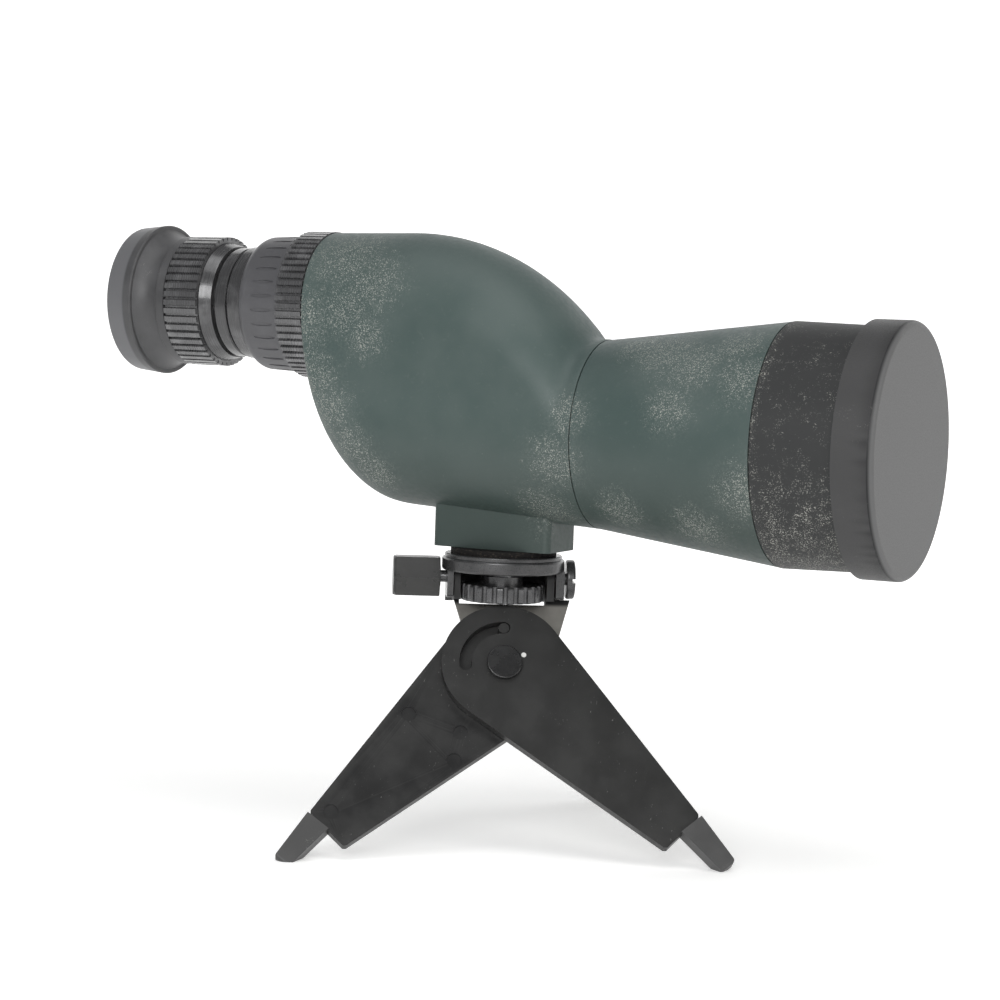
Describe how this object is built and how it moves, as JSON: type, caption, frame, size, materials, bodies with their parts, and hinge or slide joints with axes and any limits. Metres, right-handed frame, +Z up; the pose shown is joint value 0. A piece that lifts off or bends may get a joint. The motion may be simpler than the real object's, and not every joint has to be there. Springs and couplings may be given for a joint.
{
  "type": "spotting scope",
  "caption": "Straight spotting scope with a raised zoom eyepiece, rubber armour and capped objective on a folding three-legged table stand.",
  "frame": {"origin": "centre of the whole object seen from above, on the plane its three feet stand on", "axes": "+X along the optical axis towards the objective, +Z up, +Y to the left when looking towards the objective"},
  "size_m": [0.205, 0.1256, 0.1458],
  "materials": {
    "green_shell": "satin, fine stippled armour paint",
    "rubber": "matte",
    "black_plastic": "satin",
    "gloss_black": "glossy anodised",
    "cap_plastic": "fine texture",
    "black_anodised": "matt black anodised",
    "optical_glass": "coated",
    "brass": "machined",
    "steel": "zinc plated",
    "cork_pad": "granular",
    "yoke_grey": "warm grey paint"
  },
  "bodies": {
    "yoke": {"leg_yoke": "yoke_grey", "front_pivot_pin": "black_plastic", "front_pivot_washer": "steel", "rear_pivot_pin": "black_plastic", "rear_pivot_washer": "steel", "tilt_pivot_screw": "black_plastic"},
    "right_leg": {"leg_right": "black_plastic", "foot_right": "rubber"},
    "left_leg": {"leg_left": "black_plastic", "foot_left": "rubber", "stop_pin": "black_plastic"},
    "rear_leg": {"leg_rear": "black_plastic", "foot_rear": "rubber"},
    "head": {"camera_platform": "black_plastic", "platform_pad": "cork_pad"},
    "mount_screw": {"camera_screw": "steel", "thumb_wheel": "black_plastic", "screw_clip": "steel"},
    "clamp_knob": {"tilt_knob": "black_plastic", "tilt_stud": "steel"},
    "scope": {"prism_housing": "green_shell", "tripod_insert": "brass", "objective_barrel": "green_shell", "objective_rubber_ring": "rubber", "objective_cell": "black_anodised", "crown_lens": "optical_glass", "flint_lens": "optical_glass", "objective_retaining_ring": "black_anodised", "objective_o_ring": "rubber", "light_baffle": "black_anodised", "pechan_prism": "optical_glass", "schmidt_prism": "optical_glass", "rhomboid_prism": "optical_glass", "prism_tray": "black_anodised", "prism_posts": "steel", "prism_clips": "steel", "eyepiece_socket": "black_anodised"},
    "cap": {"objective_cap": "cap_plastic"},
    "focus": {"focus_ring": "black_plastic", "focus_grip": "rubber"},
    "eyepiece": {"eyepiece_barrel": "gloss_black", "eye_lens_cell": "black_anodised", "eye_lens": "optical_glass", "eye_lens_retainer": "black_anodised", "eyecup": "rubber"},
    "zoom": {"zoom_ring": "black_plastic", "zoom_cam_sleeve": "black_anodised", "zoom_key_screw": "steel"},
    "front_cell": {"front_zoom_cell": "black_anodised", "front_zoom_lens": "optical_glass"},
    "rear_cell": {"rear_zoom_cell": "black_anodised", "rear_zoom_lens": "optical_glass"}
  },
  "joints": [
    {"name": "right_leg_swing", "type": "hinge", "parent": "yoke", "child": "right_leg", "pos_m": [0.00876, -0.01739, 0.0439], "axis": [0.433, -0.75, 0.5], "range_deg": [-41, 0]},
    {"name": "left_leg_swing", "type": "hinge", "parent": "yoke", "child": "left_leg", "pos_m": [0.00876, -0.01739, 0.0439], "axis": [0.433, -0.75, 0.5], "range_deg": [0, 41]},
    {"name": "rear_leg_swing", "type": "hinge", "parent": "yoke", "child": "rear_leg", "pos_m": [-0.00514, 0.00669, 0.04318], "axis": [-0.3774, 0.6536, 0.6561], "range_deg": [0, 35]},
    {"name": "head_tilt", "type": "hinge", "parent": "yoke", "child": "head", "pos_m": [0.00171, -0.00518, 0.0629], "axis": [0.866, 0.5, 0], "range_deg": [-15, 3]},
    {"name": "clamp_knob_turn", "type": "hinge", "parent": "yoke", "child": "clamp_knob", "pos_m": [-0.01136, -0.01273, 0.0629], "axis": [-0.866, -0.5, 0], "range_deg": [0, 270]},
    {"name": "mount_screw_turn", "type": "hinge", "parent": "head", "child": "mount_screw", "pos_m": [0.00171, -0.00518, 0.0614], "axis": [0, 0, 1], "continuous": true},
    {"name": "scope_pan", "type": "hinge", "parent": "head", "child": "scope", "pos_m": [0.00171, -0.00518, 0.0702], "axis": [0, 0, 1], "continuous": true},
    {"name": "cap_pull", "type": "slide", "parent": "scope", "child": "cap", "axis": [1, 0, 0], "range_m": [0, 0.03]},
    {"name": "focus_turn", "type": "hinge", "parent": "scope", "child": "focus", "pos_m": [-0.04619, -0.00518, 0.127], "axis": [1, 0, 0], "range_deg": [0, 300]},
    {"name": "eyepiece_slide", "type": "slide", "parent": "scope", "child": "eyepiece", "axis": [-1, 0, 0], "range_m": [0, 0.004]},
    {"name": "zoom_turn", "type": "hinge", "parent": "eyepiece", "child": "zoom", "pos_m": [-0.04619, -0.00518, 0.127], "axis": [1, 0, 0], "range_deg": [-70, 70]},
    {"name": "front_cell_slide", "type": "slide", "parent": "eyepiece", "child": "front_cell", "axis": [1, 0, 0], "range_m": [-0.00147, 0.00147]},
    {"name": "rear_cell_slide", "type": "slide", "parent": "eyepiece", "child": "rear_cell", "axis": [1, 0, 0], "range_m": [-0.0011, 0.0011]}
  ],
  "couplings": [
    {"joint": "focus_turn", "follows": "eyepiece_slide", "rad_per_m": 1309},
    {"joint": "front_cell_slide", "follows": "zoom_turn", "m_per_rad": 0.0012},
    {"joint": "rear_cell_slide", "follows": "zoom_turn", "m_per_rad": -0.0009}
  ]
}
